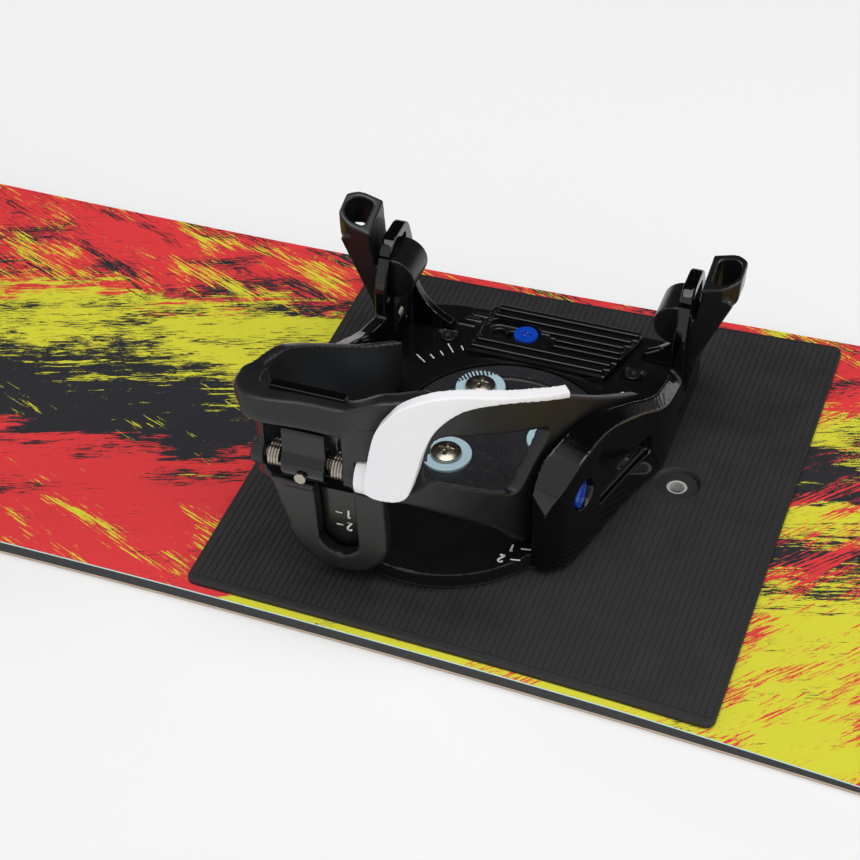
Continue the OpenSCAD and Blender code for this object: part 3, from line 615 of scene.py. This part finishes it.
x_here = add(ribs, "ShaderNodeSeparateXYZ", {0: add(ribs, "GeometryNodeInputPosition").outputs[0]}).outputs[0]
squared = add(ribs, "ShaderNodeMath", {0: x_here, 1: x_here}, operation="MULTIPLY")
widening = add(ribs, "ShaderNodeMath", {0: squared.outputs[0], 1: 1 / (2 * sidecut), 2: waist / 2 - 0.0075},
               operation="MULTIPLY_ADD")
reach = add(ribs, "ShaderNodeCombineXYZ", {0: 1, 1: widening.outputs[0], 2: 1})
copies = add(ribs, "GeometryNodeInstanceOnPoints", {"Points": row.outputs[0], "Instance": bar.outputs[0],
                                                    "Scale": reach.outputs[0]})
end_tree(ribs, copies.outputs[0], given["Material"])


def grown(tree, values):
    """The plain mesh that a Geometry Nodes tree makes from its named inputs."""
    work = bpy.data.objects.new("work", bpy.data.meshes.new("work"))
    bpy.context.scene.collection.objects.link(work)
    modifier = work.modifiers.new("grow", "NODES")
    modifier.node_group = tree
    for socket in tree.interface.items_tree:
        if socket.in_out == "INPUT" and socket.name in values:
            modifier[socket.identifier] = values[socket.name]
    bpy.context.view_layer.update()
    mesh = bpy.data.meshes.new_from_object(work.evaluated_get(bpy.context.evaluated_depsgraph_get()))
    bpy.data.objects.remove(work)
    return mesh


def joined(meshes, name):
    """One mesh from several."""
    shape = bmesh.new()
    for mesh in meshes:
        shape.from_mesh(mesh)
    result = bpy.data.meshes.new(name)
    shape.to_mesh(result)
    shape.free()
    return result


rib_count = int((pad_high.x - pad_low.x - 0.003) / rib_pitch)
rib_mesh = grown(ribs, {"Count": rib_count, "Pitch": rib_pitch, "Height": rib_h * 2, "Material": rubber,
                        "Start": (pad_low.x + pad_high.x - (rib_count - 1) * rib_pitch) / 2})
rib_mesh.transform(Matrix.Translation((0, -0.0012, pad_high.z - rib_h)))
hole_at = stance + Vector((spare_insert[0], spare_insert[1], 0)) / 1000
hole = bmesh.new()
bmesh.ops.create_cone(hole, cap_ends=True, segments=64, radius1=0.0098, radius2=0.0098, depth=0.02,
                      matrix=Matrix.Translation((hole_at.x, hole_at.y, pad_high.z)))
hole_mesh = bpy.data.meshes.new("hole")
hole.to_mesh(hole_mesh)
hole.free()


def turned(name, profile, centre, steps=64):
    """A ring or disc turned about a vertical axis, from a closed profile of (radius, height)."""
    shape = bmesh.new()
    rows = [[shape.verts.new((centre.x + r * math.cos(2 * math.pi * k / steps),
                              centre.y + r * math.sin(2 * math.pi * k / steps), z)) for k in range(steps)]
            for r, z in profile]
    for i in range(len(rows)):
        for k in range(steps):
            shape.faces.new((rows[i - 1][k], rows[i - 1][(k + 1) % steps],
                             rows[i][(k + 1) % steps], rows[i][k]))
    mesh = bpy.data.meshes.new(name)
    shape.to_mesh(mesh)
    shape.free()
    return outward(mesh)


collar_floor = pad_low.z + 0.0005
collar = turned("pad_collar", [(0.0041, pad_low.z), (0.0101, pad_low.z), (0.0101, pad_high.z - 0.0003),
                               (0.0098, pad_high.z), (0.0092, pad_high.z), (0.0086, pad_high.z - 0.0005),
                               (0.0080, collar_floor), (0.0041, collar_floor)], hole_at)
pad_mesh = joined([cut(slab_mesh, hole_mesh), cut(rib_mesh, hole_mesh.copy()), collar], "pad")
show_pair(pad_mesh, "pad", rubber, "_ribbed", 30)

# ---- Binding base ----
# A glass-filled nylon floor moulded in one piece, with a gloss rim that the disc drops into.
# A thin foam gasket below it keeps the snow out, and two small black screws pin the rails.
nylon = plastic("moulded_nylon", "#0E0E10", 0.16, 0.3, 0.6, 0.012, "#2E2E31")
show_pair(moulded("baseplate", 0.5, 3, share=0.6), "baseplate", nylon, "_moulding")
foam = plastic("gasket_foam", "#151517", 0.7, 0.9, 0.8, 0.1)
black_zinc = plastic("black_zinc", "#17171A", 0.25, 0.4, 0.5, 0.01)
for side in ("front", "rear"):
    dress(f"{side}_gasket", foam)
show_pair(moulded("rail_screws", 0.22, 2), "rail_screws", black_zinc, "_pressing")

# Pad-printed marks: thin white ink that shows the stance angle and the heel cup's two settings
ink, tree, shader, place = new_finish("white_ink", "#DDE3E6", 0.6)
wear = add(tree, "ShaderNodeTexNoise", {"Vector": place, "Scale": 2600, "Detail": 3}).outputs[0]
tint = add(tree, "ShaderNodeValToRGB", {0: wear})
tint.color_ramp.elements[0].position, tint.color_ramp.elements[0].color = 0.36, linear("#8A8F92")
tint.color_ramp.elements[1].position, tint.color_ramp.elements[1].color = 0.46, linear("#E2E8EA")
tree.links.new(tint.outputs[0], shader.inputs["Base Color"])


def local(x, y, z=0.0):
    """A point of the front binding, in metres, from millimetres off its disc's centre."""
    return Vector((stance.x + x / 1000, stance.y + y / 1000, pad_top + z / 1000))


def strip(shape, start, end, width, up, thick=0.00006):
    """One thin bar of ink from start to end, standing off its surface along up."""
    along = (end - start).normalized()
    across = along.cross(up).normalized() * width / 2
    corners = [start - across, start + across, end + across, end - across]
    low = [shape.verts.new(c - up * thick) for c in corners]
    high = [shape.verts.new(c + up * thick) for c in corners]
    shape.faces.new(low)
    shape.faces.new(list(reversed(high)))
    for i in range(4):
        shape.faces.new((low[i - 1], high[i - 1], high[i], low[i]))


def digit(shape, character, centre, size, right_way, up_way):
    """A plain stroke digit, 1 or 2, drawn with the same bars."""
    strokes = {"1": [(0, -1, 0, 1), (-0.35, 0.65, 0, 1)],
               "2": [(-0.5, 0.6, -0.2, 1), (-0.2, 1, 0.3, 0.95), (0.3, 0.95, 0.5, 0.5), (0.5, 0.5, -0.5, -1),
                     (-0.5, -1, 0.55, -1)]}[character]
    face = right_way.cross(up_way)
    for x0, y0, x1, y1 in strokes:
        strip(shape, centre + (right_way * x0 + up_way * y0) * size / 2,
              centre + (right_way * x1 + up_way * y1) * size / 2, size * 0.2, face)


marks = bmesh.new()
flat = Vector((0, 0, 1))
deck = 8.05
for i in range(7):
    angle = math.radians(116 + 4.6 * i)
    reach = 60 if i in (0, 3, 6) else 57
    strip(marks, local(54 * math.cos(angle), 54 * math.sin(angle), deck),
          local(reach * math.cos(angle), reach * math.sin(angle), deck), 0.0005, flat)
for i in range(5):
    angle = math.radians(36 + 2.4 * i)
    strip(marks, local(53 * math.cos(angle), 53 * math.sin(angle), deck),
          local(54.6 * math.cos(angle), 54.6 * math.sin(angle), deck), 0.0011, flat)
strip(marks, local(-25.5, 49.5, deck), local(-23, 53.5, deck), 0.0005, flat)
strip(marks, local(-25.5, 49.5, deck), local(-21, 50.5, deck), 0.0005, flat)
for x, y, character in ((21, -66, "2"), (23, -59.5, "1")):
    digit(marks, character, local(x, y, deck), 0.0036, Vector((-1, 0, 0)), Vector((0, -1, 0)))
    strip(marks, local(x + 3.4, y + 0.6, deck), local(x + 7, y + 1.2, deck), 0.0005, flat)
marks_mesh = bpy.data.meshes.new("binding_marks")
marks.to_mesh(marks_mesh)
marks.free()


def show_extra(mesh, part, material, smooth_deg=40):
    """Shows small trim that the CAD leaves out, on the board's body, for both bindings."""
    mesh = outward(mesh)
    other = mesh.copy()
    other.transform(Matrix.Diagonal((-1, 1, 1, 1)))
    other.flip_normals()
    for side, shape in (("front", mesh), ("rear", other)):
        shape.materials.clear()
        shape.materials.append(material)
        shape.shade_smooth()
        shape.set_sharp_from_angle(angle=math.radians(smooth_deg))
        piece = bpy.data.objects.new(f"{side}_{part}", shape)
        bpy.context.scene.collection.objects.link(piece)
        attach(piece, "board")


show_extra(marks_mesh, "printed_marks", ink)

# ---- Disc ----
# The round nylon disc that clamps the binding at any angle: fine teeth round its rim, cast dimples inside.
# Three zinc-plated washers and three M6 cross-head screws hold it to the board's inserts.
disc_finish = plastic("disc_nylon", "#232326", 0.3, 0.48, 0.6, 0.02)
disc_mesh = moulded("disc", 0.5, 2, share=0.7)

teeth, given = new_tree("disc_teeth", Count="Int", Radius="Float", Length="Float", Width="Float",
                        Height="Float")
circle = add(teeth, "GeometryNodeCurvePrimitiveCircle", {"Radius": given["Radius"]}, mode="RADIUS")
points = add(teeth, "GeometryNodeCurveToPoints", {"Curve": circle.outputs[0], "Count": given["Count"]},
             mode="COUNT")
tooth_ends = []
for half in (-0.5, 0.5):
    tooth_end = add(teeth, "ShaderNodeMath", {0: given["Length"], 1: half}, operation="MULTIPLY").outputs[0]
    tooth_ends.append(add(teeth, "ShaderNodeCombineXYZ", {1: tooth_end}).outputs[0])
tooth_line = add(teeth, "GeometryNodeCurvePrimitiveLine", {"Start": tooth_ends[0], "End": tooth_ends[1]})
tooth_section = add(teeth, "GeometryNodeCurvePrimitiveQuadrilateral",
                    {"Width": given["Width"], "Height": given["Height"]}, mode="RECTANGLE")
tooth = add(teeth, "GeometryNodeCurveToMesh", {"Curve": tooth_line.outputs[0],
                                               "Profile Curve": tooth_section.outputs[0], "Fill Caps": True})
way = add(teeth, "FunctionNodeAlignEulerToVector", {"Vector": points.outputs["Normal"]}, axis="Y")
copies = add(teeth, "GeometryNodeInstanceOnPoints",
             {"Points": points.outputs[0], "Instance": tooth.outputs[0], "Rotation": way.outputs[0]})
end_tree(teeth, copies.outputs[0], given["Material"])
tooth_mesh = grown(teeth, {"Count": 150, "Radius": 0.0381, "Length": 0.0052, "Width": 0.0007, "Height": 0.0005,
                           "Material": disc_finish})
tooth_mesh.transform(Matrix.Translation(local(0, 0, 8.6)))

# The dimples are shallow rings on a honeycomb, left out where a washer sits
dimple_rings = []
for row in range(-4, 5):
    for column in range(-4, 5):
        x, y = column * 9.8 + (4.9 if row % 2 else 0), row * 8.5
        if math.hypot(x, y) < 30 and all(math.hypot(x - wx, y - wy) > 14 for wx, wy in disc_screws):
            dimple_rings.append(turned("dimple", [(0.0029, pad_top + 0.0069), (0.0044, pad_top + 0.0069),
                                                  (0.0041, pad_top + 0.0073), (0.0032, pad_top + 0.0073)],
                                       local(x, y), 24))
show_pair(joined([disc_mesh, tooth_mesh] + dimple_rings, "disc"), "disc", disc_finish, "_moulding")

zinc, tree, shader, place = new_finish("zinc_plate", "#C6E4F0", 0.36, Metallic=0.2)
frost = add(tree, "ShaderNodeTexNoise", {"Vector": place, "Scale": 1800, "Detail": 3})
shine = add(tree, "ShaderNodeMapRange", {0: frost.outputs[0], 3: 0.24, 4: 0.42})
tree.links.new(shine.outputs[0], shader.inputs["Roughness"])
show_pair(moulded("disc_washers", 0.25, 2), "disc_washers", zinc, "_pressing")
screw_steel, tree, shader, place = new_finish("screw_steel", "#A9A296", 0.28, Metallic=1)
wiping = add(tree, "ShaderNodeTexNoise", {"Vector": place, "Scale": 900, "Detail": 3})
shine = add(tree, "ShaderNodeMapRange", {0: wiping.outputs[0], 3: 0.16, 4: 0.38})
tree.links.new(shine.outputs[0], shader.inputs["Roughness"])
show_pair(moulded("disc_screws", 0.22, 2, share=0.8), "disc_screws", screw_steel, "_pressing")

# ---- Toe ramp ----
# A ribbed nylon wedge under the toes that slides on one screw: loosen it and the ramp moves along its slot.
# Its screw has a baked blue coating, the sign of a part that the rider may loosen.
show_pair(moulded("toe_ramp", 0.4, 2, share=0.8), "toe_ramp", nylon, "_moulding")
blue, tree, shader, place = new_finish("blue_coating", "#0A43B4", 0.2)
shader.inputs["Coat Weight"].default_value = 0.6
fleck = add(tree, "ShaderNodeTexNoise", {"Vector": place, "Scale": 1500, "Detail": 2})
shine = add(tree, "ShaderNodeMapRange", {0: fleck.outputs[0], 3: 0.14, 4: 0.3})
tree.links.new(shine.outputs[0], shader.inputs["Roughness"])
show_pair(moulded("toe_screw", 0.22, 2), "toe_screw", blue, "_pressing")

# ---- Side rails and toe towers ----
# Two stiff rails in polished-mould nylon, each rising into a tower with a window for its toe hook.
# The gloss comes from the mould itself, so it stays sharp on the flats; a painted highlight makes its edges paler.
gloss = plastic("gloss_nylon", "#050506", 0.05, 0.12, 1.2, 0.004, "#1E1E21")
show_pair(moulded("rail_out", 0.45, 12, share=0.7), "rail_out", gloss, "_moulding")
show_pair(moulded("rail_in", 0.45, 6, share=0.7), "rail_in", gloss, "_moulding")

# ---- Toe hooks ----
# Sprung acetal hooks that catch the boot's toe cleats: a round nose inside the tower, a finger loop outside.
# Each turns on a steel pin and is pushed back by a small coil spring.
acetal = plastic("satin_acetal", "#131315", 0.2, 0.34, 0.8, 0.01, "#3C3C40")
show_pair(moulded("hook_out", 0.4, 9, share=0.8), "hook_out", acetal, "_moulding")
show_pair(moulded("hook_in", 0.4, 9, share=0.8), "hook_in", acetal, "_moulding")
for side in ("front", "rear"):
    dress(f"{side}_hook_pins", screw_steel)

springs, given = new_tree("coil_spring", Turns="Float", Radius="Float", Length="Float", Wire="Float")
helix = add(springs, "GeometryNodeCurveSpiral", {"Resolution": 28, "Rotations": given["Turns"],
                                                 "Start Radius": given["Radius"], "End Radius": given["Radius"],
                                                 "Height": given["Length"]})
wire = add(springs, "GeometryNodeCurvePrimitiveCircle", {"Resolution": 10, "Radius": given["Wire"]}, mode="RADIUS")
tube = add(springs, "GeometryNodeCurveToMesh", {"Curve": helix.outputs[0], "Profile Curve": wire.outputs[0],
                                                "Fill Caps": True})
end_tree(springs, tube.outputs[0], given["Material"])


def coil(start, axis, turns, radius, length, wire_r):
    """A spring along axis from start."""
    mesh = grown(springs, {"Turns": turns, "Radius": radius, "Length": length, "Wire": wire_r,
                           "Material": screw_steel})
    mesh.transform(Matrix.Translation(start) @ axis.to_track_quat("Z", "Y").to_matrix().to_4x4())
    return mesh


hook_springs = []
for x, y in ((60, 45.6), (-60, 39.6)):
    hook_springs.append(coil(local(x, y, 22), Vector((0, 1, 0)), 4, 0.0032, 0.0045, 0.00055))
show_pair(joined(hook_springs, "hook_springs"), "hook_springs", screw_steel, "_coils", 60)

# ---- Heel cup ----
# A tall cradle for the boot's heel in matte nylon, open at the front, with a window over the disc.
# Its tongue hooks over the base's spine, and one blue screw and nut on each side tie it to the rails.
cup_nylon = plastic("matte_nylon", "#131315", 0.34, 0.48, 0.5, 0.02, "#2A2A2D")
cup_mesh = moulded("heel_cup", 0.62, 8, share=0.6)


def ease(value):
    """0 below 0, 1 above 1 and a smooth step between."""
    value = min(max(value, 0), 1)
    return value * value * (3 - 2 * value)


# The mould swells at the inboard corner, dips along the rear rim and rolls out below it like a brow
for vertex in cup_mesh.vertices:
    x, y, z = ((vertex.co.x - stance.x) * 1000, (vertex.co.y - stance.y) * 1000, (vertex.co.z - pad_top) * 1000)
    high, rear = ease((z - 72) / 18), ease((-62 - y) / 16)
    corner = high * ease(1 - math.hypot(x + 64, y + 91) / 26)
    brow = math.exp(-((z - 84) / 7) ** 2) * ease((-90.5 - y) / 2) * ease((-22 - x) / 10)
    dip = high * rear * ease((-14 - x) / 14)
    vertex.co += Vector((-4.2 * corner, -4.2 * corner - 2.8 * brow, -4.4 * dip)) / 1000
show_pair(cup_mesh, "heel_cup", cup_nylon, "_moulding")
show_pair(moulded("cup_screws", 0.22, 2), "cup_screws", blue, "_pressing")
show_pair(moulded("cup_bar", 0.22, 2), "cup_bar", gloss, "_moulding")
for side in ("front", "rear"):
    dress(f"{side}_cup_nuts", screw_steel)
trough = bmesh.new()
spine_up = Vector((0, -0.996, 0.087)).normalized()
for z, character in ((26, "2"), (32.5, "1")):
    y = -83.35 - (z - 5) * 3.3 / 39
    digit(trough, character, local(-30.5, y - 0.1, z), 0.0036, Vector((-1, 0, 0)), Vector((0, -0.087, -0.996)))
    strip(trough, local(-35.5, y - 0.1, z), local(-33, y - 0.1, z), 0.0005, spine_up)
strip(trough, local(-31, -85.6, 37.5), local(-32, -86.1, 43), 0.0005, spine_up)
trough_mesh = bpy.data.meshes.new("setting_marks")
trough.to_mesh(trough_mesh)
trough.free()
show_extra(trough_mesh, "setting_marks", ink)

# ---- Heel latch ----
# A gloss acetal catch on a steel shaft, held forward by two torsion springs, with one rivet through it.
# The boot's heel cleat pushes it back and it snaps over the top.
show_pair(moulded("latch", 0.35, 14, share=0.8), "latch", gloss, "_moulding")
show_pair(moulded("latch_rivet", 0.2, 2), "latch_rivet", screw_steel, "_pressing")
for side in ("front", "rear"):
    dress(f"{side}_latch_shaft", screw_steel)
latch_springs = []
for x in (-57.6, -33.6):
    latch_springs.append(coil(local(x, -88.5, 58), Vector((1, 0, 0)), 4.5, 0.0044, 0.0050, 0.0006))
show_pair(joined(latch_springs, "latch_springs"), "latch_springs", screw_steel, "_coils", 60)

# ---- Release lever ----
# A white acetal lever pressed on the latch's shaft: its strip hugs the cup and thins into a blade.
# Lifting the blade turns the shaft and frees the heel.
white = plastic("white_acetal", "#ECECEF", 0.28, 0.4, 0.8, 0.008, "#FAFAFA")
show_pair(moulded("release_lever", 0.4, 5, share=0.8), "release_lever", white, "_moulding")
